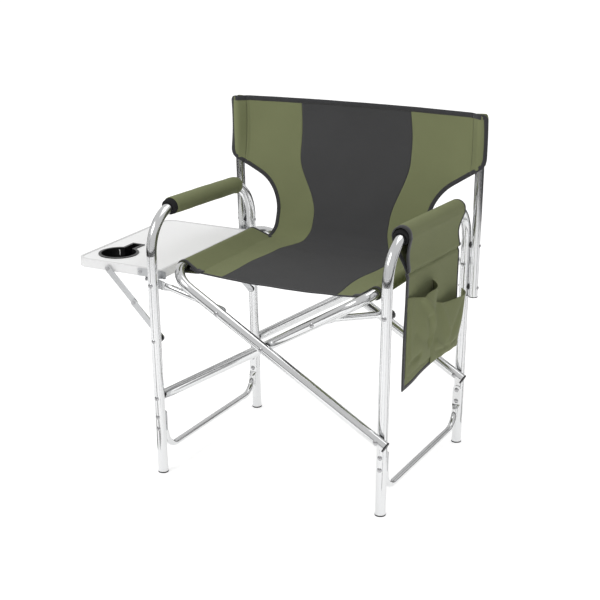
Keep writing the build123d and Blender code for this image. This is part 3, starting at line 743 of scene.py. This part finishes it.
for side, label in SIDES:
    rows = sling_rows(S_FOOT + 2, S_TOTAL, 3.0)
    split = int(np.argmax(edge_x(side, rows) > SEAM_X))
    low_frames = edge_frames(side, rows[:split + 1])
    high_frames = edge_frames(side, rows[split:])
    top_edge = edge_x(side, np.array([S_TOTAL]))[0]
    corner_x = np.linspace(side * SEAM_X, side * top_edge, 14)[::side]
    corner_frames = row_frames(S_TOTAL, corner_x, -1)
    bindings.append(taped(f"back {label} edge tape", low_frames, EDGE_TAPE))
    pocket_tapes[side] = [
        taped(f"pocket {label} edge tape", high_frames, EDGE_TAPE),
        taped(f"pocket {label} top tape", corner_frames, TOP_TAPE),
    ]
top_x = np.linspace(-SEAM_X, SEAM_X, 90)
bindings.append(taped("back top tape", row_frames(S_TOTAL, top_x, -1), TOP_TAPE))
rear_tapes = []
for side, label in SIDES:
    start = np.interp(REAR_TAPE_Y[side], profile[:6, 0], profile_s[:6])
    frames = edge_frames(side, sling_rows(start, S_FOOT + 3, 3.0))
    rear_tapes.append(ribbon(f"seat {label} rear tape", *frames, EDGE_TAPE))
front_x = np.linspace(1 - SEAT_HALF, SEAT_HALF - 1, 80)
front_tape = ribbon("seat front tape", *row_frames(0.0, front_x, 1), FRONT_TAPE)


def corner_tape(side, label):
    """Doubled hem from a tunnel's mouth down to the seat's front edge."""
    x = side * np.linspace(198.0, 229.0, 12)
    edge = sling_point(np.clip(x, 1 - SEAT_HALF, SEAT_HALF - 1), np.zeros(12))
    edge[:, 0] = x
    edge[:, 1] -= 0.8
    edge[:, 2] += 1.0 + 5.0 * ease(np.abs(x), 212, 229)
    inward = np.tile([0.0, 1.0, 0.0], (12, 1))
    normal = np.tile([0.0, 0.0, 1.0], (12, 1))
    return ribbon(f"seat {label} corner tape", edge, inward, normal, 15.0, 5.5)


corner_tapes = [corner_tape(side, label) for side, label in SIDES]

for piece in bindings + back_parts:
    on_back(piece)
for piece in seat_parts + [front_tape] + corner_tapes + rear_tapes:
    on_seat(piece)
for side, pieces in pocket_tapes.items():
    for piece in pieces:
        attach(piece, FRAME_OF[side])
for thread, made in threads:
    if made in bindings:
        on_back(thread)
    else:
        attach(thread, FRAME_OF[-1 if "left" in made.name else 1])

# ---------------------------------------------------------------- post pockets


# Where the rear layer of each pocket starts along the sling.
POCKET_LOW = {-1: 588, 1: 604}


def pocket_back(side, label):
    """Rear layer of the pocket that a back post slides into."""
    rows = sling_rows(POCKET_LOW[side], S_TOTAL - 1)
    grid = []
    for s, limit in zip(rows, edge_x(side, rows)):
        x = side * np.linspace(SEAM_X - 4, limit - 0.5, 26)
        at = np.full(26, s)
        base = sling_point(x, at)
        z = base[:, 2]
        plane = base[:, 1] + post_front(x, at)
        base[:, 1] = plane + np.maximum(post_bulge(x, plane, z, -1), 0.8)
        grid.append(base)
    made = cloth_grid(f"back pocket {label}", np.array(grid), olive, 1.2)
    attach(made, FRAME_OF[side])
    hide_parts(f"{label}_post_sleeve")
    return made, np.array(grid)


def pocket_front(side, label):
    """Front layer of the same pocket, with its seam thread."""
    rows = sling_rows(S_FOOT, S_TOTAL)
    rows = rows[edge_x(side, rows) > SEAM_X + 3]
    start = np.full(len(rows), side * SEAM_X)
    points = sling_patch(start, side * edge_x(side, rows), rows, 24)
    if side < 0:
        points = points[:, ::-1]
    made = cloth_grid(f"post pocket {label}", points, olive, 1.6)
    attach(made, FRAME_OF[side])
    seam = sling_point(start[4:], rows[4:]) - np.array([0, 1.3, 0])
    forwards = np.tile([0.0, -1.0, 0.0], (len(seam), 1))
    thread = stitches(f"post pocket {label} seam", seam, forwards)
    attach(thread, FRAME_OF[side])
    return made, points


post_pockets = {side: pocket_front(side, label) for side, label in SIDES}
pocket_layers = {label: pocket_back(side, label) for side, label in SIDES}

# ---------------------------------------------------------------- seat tunnels


def teardrop(side, y, radius, seam_x, seam_z):
    """Closed loop round a seat rail, drawn in to the seam with the seat."""
    centre = np.array([side * RAIL_X, RAIL_Z])
    seam = np.array([side * seam_x, seam_z])
    gap = seam - centre
    toward = math.atan2(gap[1], gap[0])
    half = math.acos(radius / np.linalg.norm(gap))

    def on_circle(angle):
        return centre + radius * np.array([math.cos(angle), math.sin(angle)])

    start = on_circle(toward + half)
    end = on_circle(toward - half)
    loop = [seam + (start - seam) * k / 7 for k in range(7)]
    loop += [on_circle(toward + half + (2 * math.pi - 2 * half) * k / 26) for k in range(27)]
    loop += [end + (seam - end) * k / 7 for k in range(1, 8)]
    return np.array([(p[0], y, p[1]) for p in loop])


TUNNEL_Y = {-1: (-188.0, 144.0), 1: (-176.0, 160.0)}
TUNNEL_SLANT = {-1: 26.0, 1: 12.0}
# The seam lies this far from the middle, just under the seat's surface.
SEAM_IN = 200.0
SEAM_SINK = 2.2


def slanted(loop, amount):
    """Loop with its seam side carried rearwards, towards the foot of the back."""
    toward = np.clip((RAIL_X - np.abs(loop[:, 0])) / (RAIL_X - SEAM_IN), 0, 1)
    moved = loop.copy()
    moved[:, 1] += toward * amount
    return moved


def tunnel_loop(side, y, radius):
    """Cross-section of the tunnel, meeting the seat a little below its surface."""
    y_from, y_to = TUNNEL_Y[side]
    amount = TUNNEL_SLANT[side] * float(ease(y, y_to - 70, y_to))
    pinch = 5.0 * float(1 - ease(y - y_from, 0, 22))
    s = np.interp(y + amount, profile[:6, 0], profile_s[:6])
    seam = sling_point(np.array([side * (SEAM_IN + pinch)]), np.array([s]))[0]
    return slanted(teardrop(side, y, radius, SEAM_IN + pinch, seam[2] - SEAM_SINK), amount)


def tunnel(side, label):
    """Tunnel over one seat rail with its two end tapes, and the tunnel's grid."""
    body = f"{label}_seat_frame"
    y_from, y_to = TUNNEL_Y[side]
    grid = []
    for y in np.linspace(y_from, y_to, 70):
        grid.append(tunnel_loop(side, y, RAIL_R + 1.5 + 0.4 * float(wave(y, 0, 3.0 + side))))
    made = cloth_grid(f"seat tunnel {label}", np.array(grid), olive, 1.4, closed=True)
    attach(made, body)
    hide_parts(f"{label}_seat_tunnel")
    hems = []
    for y, step, place in ((y_from - 0.8, 3.4, "front"), (y_to + 0.8, -1.9, "rear")):
        loops = [tunnel_loop(side, y + k * step, RAIL_R + (2.5 if k < 3 else 0.9)) for k in range(6)]
        hem = cloth_grid(f"seat tunnel {label} {place} tape", np.array(loops), tape, 1.8, closed=True)
        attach(hem, body)
        hems.append(hem)
    return made, np.array(grid), hems


tunnels = {label: tunnel(side, label) for side, label in SIDES}

# ---------------------------------------------------------------- arm padding

# The side frames: their middle, the lean about their lower pivots, and the arm tube.
SHIFT = (POST_Y[1] - POST_Y[-1]) / 2
FRAME_X = 290.3
PIVOT_Z = 195.0
LEAN = math.radians(1.06)
ARM_Z = 645.0
ARM_BEND = 100.0
ARM_HALF = 235.0
FALL = 0.044


def arm_line(side, y):
    """Height of the straight part of the arm tube's axis."""
    return ARM_Z - FALL * (y - side * SHIFT)


def arm_z(side, y):
    """Height of the arm tube's axis, its two bends included."""
    drop = ARM_BEND / math.cos(math.atan(FALL))
    tangent = ARM_BEND * math.sin(math.atan(FALL))
    front = side * SHIFT - ARM_HALF + ARM_BEND
    rear = side * SHIFT + ARM_HALF - ARM_BEND
    for centre, beyond in ((front, y < front + tangent), (rear, y > rear + tangent)):
        if beyond:
            return arm_line(side, centre) - drop + math.sqrt(ARM_BEND ** 2 - (y - centre) ** 2)
    return arm_line(side, y)


def leaned(side, points):
    """Turns upright side-frame coordinates to the frame's lean."""
    points = np.asarray(points, float).copy()
    rise = points[..., 2] - PIVOT_Z
    points[..., 0] += side * rise * math.sin(LEAN)
    points[..., 2] = PIVOT_Z + rise * math.cos(LEAN)
    return points


RING_TURNS = 40


def ring_solid(name, rows, material):
    """Ring section swept round the arm: rows are (side, y, radius, waviness)."""
    verts = []
    uvs = []
    travel = 0.0
    for k, (side, y, radius, wavy) in enumerate(rows):
        z = arm_z(side, y)
        ahead = np.array([0, 1.0, arm_z(side, y + 0.5) - arm_z(side, y - 0.5)])
        ahead /= np.linalg.norm(ahead)
        up = np.cross([1, 0, 0], ahead)
        travel += 4.0
        for m in range(RING_TURNS):
            angle = 2 * math.pi * m / RING_TURNS
            swell = wavy * float(wave(y * 1.6, angle * 60, side + 4.0))
            r = radius + swell
            point = np.array([side * FRAME_X, y, z])
            point = point + np.array([math.cos(angle), 0, 0]) * r + up * math.sin(angle) * r
            verts.append(leaned(side, point))
            uvs.append((travel, angle * 20))
    faces = []
    count = len(rows)
    for k in range(count):
        j = (k + 1) % count
        for m in range(RING_TURNS):
            n = (m + 1) % RING_TURNS
            here = k * RING_TURNS
            there = j * RING_TURNS
            faces.append((here + m, here + n, there + n, there + m))
    return make_object(name, verts, faces, uvs, material)


def sleeve_rows(side, y_from, y_to, outer, inner, wavy, round_off=2.0):
    """Closed profile of a soft sleeve: out over the outside and back along the inside."""
    steps = np.linspace(y_from + round_off, y_to - round_off, 60)
    rows = [(side, y_from + 0.4, inner + 0.3, 0), (side, y_from, (inner + outer) / 2, 0)]
    rows.append((side, y_from + round_off * 0.35, outer - round_off * 0.3, 0))
    rows += [(side, y, outer, wavy) for y in steps]
    rows.append((side, y_to - round_off * 0.35, outer - round_off * 0.3, 0))
    rows += [(side, y_to, (inner + outer) / 2, 0), (side, y_to - 0.4, inner + 0.3, 0)]
    rows += [(side, y, inner, 0) for y in steps[::-6]]
    return rows


black_foam = MATERIALS["black_foam"]
FOAM_R = 19.0
BORE_R = 12.7
left_rows = sleeve_rows(-1, -168, 146, FOAM_R, BORE_R, 0.0)
right_rows = sleeve_rows(1, -156, 166, FOAM_R, BORE_R, 0.0)
cover_rows = sleeve_rows(-1, -156, 150, 21.0, 19.3, 0.5, 1.2)
left_foam = ring_solid("left_arm_foam_pad", left_rows, black_foam)
right_foam = ring_solid("right_arm_foam_pad", right_rows, black_foam)
left_cover = ring_solid("left_arm_cover_cloth", cover_rows, olive)
for made, body, node in (
    (left_foam, "left_frame", "left_arm_foam"),
    (right_foam, "right_frame", "right_arm_foam"),
    (left_cover, "left_frame", "left_arm_cover"),
):
    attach(made, body)
    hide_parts(node)

# ---------------------------------------------------------------- arm organiser

PANEL_X = FRAME_X + 22.0
SLEEVE_R = 21.2
# Height of the flap's seam at its front and rear ends.
SEAM_Z = (567.0, 552.0)
# The borders: y at the hem, along the drop and, at the rear, over the arm.
FRONT_LOW = -169.0
FRONT_TOP = -156.0
REAR_LOW = 122.0
REAR_DROP = 149.0
REAR_TOP = 178.0


def panel_y(t, z):
    """y at a share t of the way from the front border to the rear one."""
    front = FRONT_LOW + (FRONT_TOP - FRONT_LOW) * np.clip((z - 400) / 240, 0, 1)
    rear = REAR_LOW + (REAR_DROP - REAR_LOW) * ease(z, 285, 410)
    rear = rear + (REAR_TOP - REAR_DROP) * ease(z, 585, 650)
    return front + t * (rear - front)


def panel_low(t):
    """Height of the hem."""
    return 291.0 + 12.0 * ease(t, 0.0, 0.6) + 4.0 * t - 3.0 * math.sin(math.pi * t)


def seam_z(t):
    """Height of the flap's seam."""
    return SEAM_Z[0] + (SEAM_Z[1] - SEAM_Z[0]) * t


def sleeve_section(t):
    """Points (offset from the arm, z) up the inner side, over the arm and down to the hem."""
    y_top = float(panel_y(t, 650.0))
    line = arm_line(1, y_top)
    centre = line - 0.45 * (line - arm_z(1, y_top))
    points = []
    seam = float(seam_z(t))
    for k in range(14):
        f = k / 14
        sag = 0.6 * math.sin(math.pi * f)
        offset = 21.0 + (-SLEEVE_R - 21.0) * ease(f, -0.2, 1.1) - sag
        points.append((offset, seam + 2 + (centre - 6 - seam) * f))
    for k in range(29):
        angle = math.pi - math.pi * k / 28
        points.append((SLEEVE_R * math.cos(angle), centre + SLEEVE_R * math.sin(angle)))
    low = panel_low(t)
    for f in np.linspace(0, 1, 78)[1:]:
        z = centre + (low - centre) * f
        step = 3.6 * float(ease(z, seam - 1.5, seam + 1.5))
        tuck = -3.8 * math.exp(-((z - seam + 3.0) / 3.6) ** 2)
        hollow = -6.0 * math.sin(math.pi * min(max((z - seam) / (centre - seam), 0), 1))
        points.append((20.0 + step + tuck + hollow, z))
    return points


def organiser_sheet():
    """Grid of the whole sheet, front border first."""
    grid = []
    for t in np.linspace(0, 1, 84):
        line = []
        for offset, z in sleeve_section(float(t)):
            y = float(panel_y(t, z))
            ripple = 1.3 * float(wave(y * 0.9, z * 0.8, 5.0)) * float(1 - ease(z, 600, 640))
            line.append((FRAME_X + offset + ripple, y, z))
        grid.append(line)
    return leaned(1, np.array(grid))


sheet_points = organiser_sheet()
panel = cloth_grid("organiser_cloth", sheet_points, olive, 1.5)
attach(panel, "right_frame")
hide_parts("organiser_panel")


def tape_on_grid(name, points, rim, width, thick=3.0):
    """Tape along one border of a grid: rim is front, rear or hem."""
    if rim == "front":
        edge, inner = points[0], points[2]
    elif rim == "rear":
        edge, inner = points[-1], points[-3]
    else:
        edge, inner = points[:, -1], points[:, -3]
    way, inward = inward_frame(edge, inner)
    return ribbon(name, edge, inward, np.cross(way, inward), width, thick)


panel_tapes = [
    tape_on_grid("organiser_front_tape", sheet_points, "front", 12.0, 3.6),
    tape_on_grid("organiser_rear_tape", sheet_points, "rear", 5.5, 3.4),
    tape_on_grid("organiser_hem_tape", sheet_points, "hem", 8.5),
]
for made in panel_tapes:
    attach(made, "right_frame")


def crease(a, b, start, stop, width):
    """Soft ridge along a line in a pocket's own 0..1 coordinates."""
    ax, ay = start
    dx, dy = stop[0] - ax, stop[1] - ay
    length = dx * dx + dy * dy
    f = min(max(((a - ax) * dx + (b - ay) * dy) / length, 0), 1)
    gap = math.hypot(a - ax - f * dx, b - ay - f * dy)
    return math.exp(-(gap / width) ** 2)


# Creases are (start, stop, width, rise). lean moves the bulge towards the rear; flare opens the rear end.
POCKETS = {
    "front": {
        "y": (-158, -12),
        "low": (318, 322),
        "top": (510, 512),
        "depth": 25.0,
        "lean": 1.9,
        "flare": 0.0,
        "creases": (
            ((0.36, 1.0), (0.92, 0.42), 0.05, 7.0),
            ((0.92, 0.42), (0.78, 0.03), 0.06, 6.0),
            ((0.08, 0.13), (0.45, 0.17), 0.04, -7.0),
            ((0.62, 0.62), (0.84, 0.1), 0.06, -6.0),
            ((0.10, 0.95), (0.12, 0.15), 0.05, 4.0),
            ((0.3, 0.5), (0.7, 0.28), 0.07, -4.0),
        ),
    },
    "rear": {
        "y": (-11, 156),
        "low": (306, 296),
        "top": (458, 440),
        "depth": 26.0,
        "lean": 2.3,
        "flare": 17.0,
        "creases": (
            ((0.2, 1.0), (0.62, 0.1), 0.07, 5.0),
            ((0.2, 0.12), (0.9, 0.15), 0.05, -6.0),
            ((0.8, 0.9), (0.55, 0.25), 0.07, -5.0),
            ((0.15, 0.3), (0.5, 0.05), 0.06, 5.0),
        ),
    },
}


def between(ends, t):
    return ends[0] + (ends[1] - ends[0]) * t


def pocket_points(shape):
    """Bulging pocket front, sewn down at its sides and bottom and open at the top."""
    grid = []
    for b in np.linspace(0, 1, 46):
        line = []
        for a in np.linspace(0, 1, 52):
            y = between(shape["y"], a)
            low = between(shape["low"], a)
            top = between(shape["top"], a)
            swell = math.sin(math.pi * a ** shape["lean"]) if a < 1 else 0.0
            swell = max(swell, 0.0) ** 0.75
            height = 1 - (1 - b) ** 5
            bulge = shape["depth"] * swell * height * (0.55 + 0.45 * b)
            dip = (4.0 * swell + 8.0 * math.exp(-((a - 0.34) / 0.2) ** 2)) * b ** 4
            gather = 0.75 * (1 - height) * math.sin(a * 19)
            inside = min(1.0, 6 * a, 6 * (1 - a)) * min(1, 5 * b)
            for start, stop, width, rise in shape["creases"]:
                bulge += rise * crease(a, b, start, stop, width) * inside
            bulge += 0.9 * float(wave(y * 1.7, (low + (top - low) * b) * 1.5, 7.0)) * min(1, 8 * b)
            z = low + (top - low) * b - dip
            wide = shape["flare"] * a ** 3 * b ** 0.5
            line.append((PANEL_X + 0.4 + max(bulge, 0.0) + gather, y + wide, z))
        grid.append(line)
    return leaned(1, np.array(grid))


pockets = {}
for place, shape in POCKETS.items():
    points = pocket_points(shape)
    made = cloth_grid(f"organiser_{place}_pocket_cloth", points, olive, 1.4)
    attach(made, "right_frame")
    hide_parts(f"organiser_{place}_pocket")
    pockets[place] = (made, points)

# ---------------------------------------------------------------- cup clip and painted highlight


def cup_clip_highlight():
    """Small bent wire clip on the rear inner wall of the cup, in white: partly the clip, partly a painted
    highlight.
    """
    low, high = box_mm("cup_holder")
    top = high[2] - 6.0
    x = low[0] + 18.0
    y = -97.5
    line = [
        (x, y, top - 13),
        (x, y, top - 2),
        (x + 1.5, y - 0.4, top),
        (x + 8.5, y - 1.2, top),
        (x + 10, y - 1.6, top - 2),
        (x + 10, y - 1.6, top - 13),
    ]
    curve = bpy.data.curves.new("cup_clip_highlight", "CURVE")
    curve.dimensions = "3D"
    curve.bevel_depth = 1.0 * MM
    curve.bevel_resolution = 3
    spline = curve.splines.new("POLY")
    spline.points.add(len(line) - 1)
    for point, place in zip(spline.points, line):
        point.co = (*[v * MM for v in place], 1)
    made = bpy.data.objects.new("cup_clip_highlight", curve)
    bpy.context.scene.collection.objects.link(made)
    # The clip's white stands for the highlight on the cup's rear wall: painted highlight.
    curve.materials.append(MATERIALS["table_sheet"])
    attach(made, "table")


cup_clip_highlight()

# ---------------------------------------------------------------- cloth nodes that the new pieces replace


def declare(points):
    """Scales a cloth piece's points to metres and does nothing more with them."""
    points = np.asarray(points) * MM


seat_tapes = [[rear_tapes[0], corner_tapes[0]], [front_tape], [rear_tapes[1], corner_tapes[1]]]
for made, tapes in zip(seat_parts, seat_tapes):
    declare(sling_grids[made.name])
back_tapes = [[bindings[0]], [bindings[2]], [bindings[1]]]
for made, tapes in zip(back_parts, back_tapes):
    declare(sling_grids[made.name])
for side, (made, points) in post_pockets.items():
    declare(points)
for label, (made, points) in pocket_layers.items():
    declare(points)
for label, (made, points, hems) in tunnels.items():
    declare(points)
declare(sheet_points)
for made, points in pockets.values():
    declare(points)
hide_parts("seat_fabric")
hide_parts("back_fabric")

for obj in bpy.data.objects:
    if obj.type != "MESH" or not obj.data.materials or obj.name in nodes:
        continue

# ---------------------------------------------------------------- studio

scene = bpy.context.scene


def glow(name, strength):
    """White emission."""
    mat = bpy.data.materials.new(name)
    mat.use_nodes = True
    tree = mat.node_tree
    tree.nodes.clear()
    emit = tree.nodes.new("ShaderNodeEmission")
    emit.inputs["Color"].default_value = (1, 1, 1, 1)
    emit.inputs["Strength"].default_value = strength
    out = tree.nodes.new("ShaderNodeOutputMaterial")
    tree.links.new(emit.outputs[0], out.inputs["Surface"])
    return mat


def only_lights(board, name, material, visible_glossy=True, visible_diffuse=False):
    """Stages a board that the camera doesn't see and that casts no shadow."""
    board.name = name
    board.data.materials.append(material)
    board.visible_camera = False
    board.visible_diffuse = visible_diffuse
    board.visible_glossy = visible_glossy
    board.visible_shadow = False


def board(name, place, size, turn, strength):
    """Board that only shows in reflections, turned by Euler angles."""
    bpy.ops.mesh.primitive_plane_add(size=1, location=place)
    made = bpy.context.object
    made.scale = (size[0], size[1], 1)
    made.rotation_euler = turn
    only_lights(made, name, glow(name, strength))


def aimed(place, aim):
    """Euler angles that turn an object's -Z from a place to a target."""
    return (Vector(aim) - Vector(place)).to_track_quat("-Z", "Y").to_euler()


CAMERA_AZIMUTH = 27.8
# Reflector boards round the chair: degrees from the camera's side, width, strength.
BOARDS = (
    (62, 0.16, 0.30),
    (98, 0.10, 0.10),
    (128, 0.30, 0.22),
    (-58, 0.22, 0.30),
    (-88, 0.12, 0.08),
    (-124, 0.28, 0.20),
    (20, 0.05, 0.35),
    (-18, 0.05, 0.40),
    (165, 0.12, 0.25),
)
BOARD_MIDDLE = 0.45
# Area lights: name, place, size, watts, target.
LIGHTS = (
    ("key", (-1.2, -2.2, 3.0), 1.4, 26, (0, 0, 0.45)),
    ("top", (0.6, 0.8, 3.2), 2.0, 14, (0, 0, 0.4)),
)


def studio():
    """Bright world, pale floor, two soft lights and the boards that the tubes reflect."""
    world = bpy.data.worlds.new("studio")
    scene.world = world
    world.use_nodes = True
    background = world.node_tree.nodes["Background"]
    background.inputs["Color"].default_value = (1, 1, 1, 1)
    background.inputs["Strength"].default_value = 0.72
    bpy.ops.mesh.primitive_plane_add(size=30, location=(0, 0, 0))
    floor = bpy.context.object
    floor.name = "studio_floor"
    pale = Shader("studio floor", (0.86, 0.86, 0.86, 1), 0.9, specular=0.1)
    pale.set("Emission Color", (1, 1, 1, 1))
    pale.set("Emission Strength", 0.5)
    floor.data.materials.append(pale.mat)
    for name, place, size, power, aim in LIGHTS:
        data = bpy.data.lights.new(name, "AREA")
        data.size = size
        data.energy = power
        lamp = bpy.data.objects.new(name, data)
        scene.collection.objects.link(lamp)
        lamp.location = place
        lamp.rotation_euler = aimed(place, aim)
    bpy.ops.mesh.primitive_cylinder_add(
        radius=2.4, depth=0.42, end_fill_type="NOTHING", location=(0, 0, 0.21)
    )
    only_lights(bpy.context.object, "dark_skirting", glow("dark skirting", 0.03))
    bpy.ops.mesh.primitive_plane_add(size=1, location=(1.9, 0.1, 0.6))
    shade = bpy.context.object
    shade.scale = (1.9, 2.6, 1)
    shade.rotation_euler = (0, math.radians(90), 0)
    only_lights(shade, "shade_board", glow("shade board", 0.12), visible_glossy=False, visible_diffuse=True)
    for index, (turn, width, strength) in enumerate(BOARDS):
        angle = math.radians(CAMERA_AZIMUTH + turn)
        place = (1.35 * math.sin(angle), -1.35 * math.cos(angle), BOARD_MIDDLE)
        upright = aimed(place, (0, 0, BOARD_MIDDLE))
        board(f"board_{index}", place, (width, 1.1), upright, strength)
        # The matching strip of floor that shows in the lower tubes.
        middle = (0.95 * math.sin(angle), -0.95 * math.cos(angle), 0.004)
        board(f"strip_{index}", middle, (width * 0.8, 0.9), (0, 0, angle), strength + 0.12)


def main_camera():
    """Camera in front of the chair, on its +X side and a little above it."""
    azimuth = math.radians(CAMERA_AZIMUTH)
    elevation = math.radians(18.1)
    target = Vector((-0.0461, 0.0208, 0.4))
    back = Vector((
        math.sin(azimuth) * math.cos(elevation),
        -math.cos(azimuth) * math.cos(elevation),
        math.sin(elevation),
    ))
    data = bpy.data.cameras.new("main")
    data.lens = 85.0
    data.sensor_width = 36.0
    camera = bpy.data.objects.new("main", data)
    scene.collection.objects.link(camera)
    camera.location = target + back * 3.487
    aim = (-back).to_track_quat("-Z", "Y")
    camera.rotation_mode = "QUATERNION"
    roll = Quaternion((0, 0, 1), math.radians(-0.333))
    camera.rotation_quaternion = aim @ roll
    scene.camera = camera


studio()
main_camera()
scene.view_settings.view_transform = "Standard"
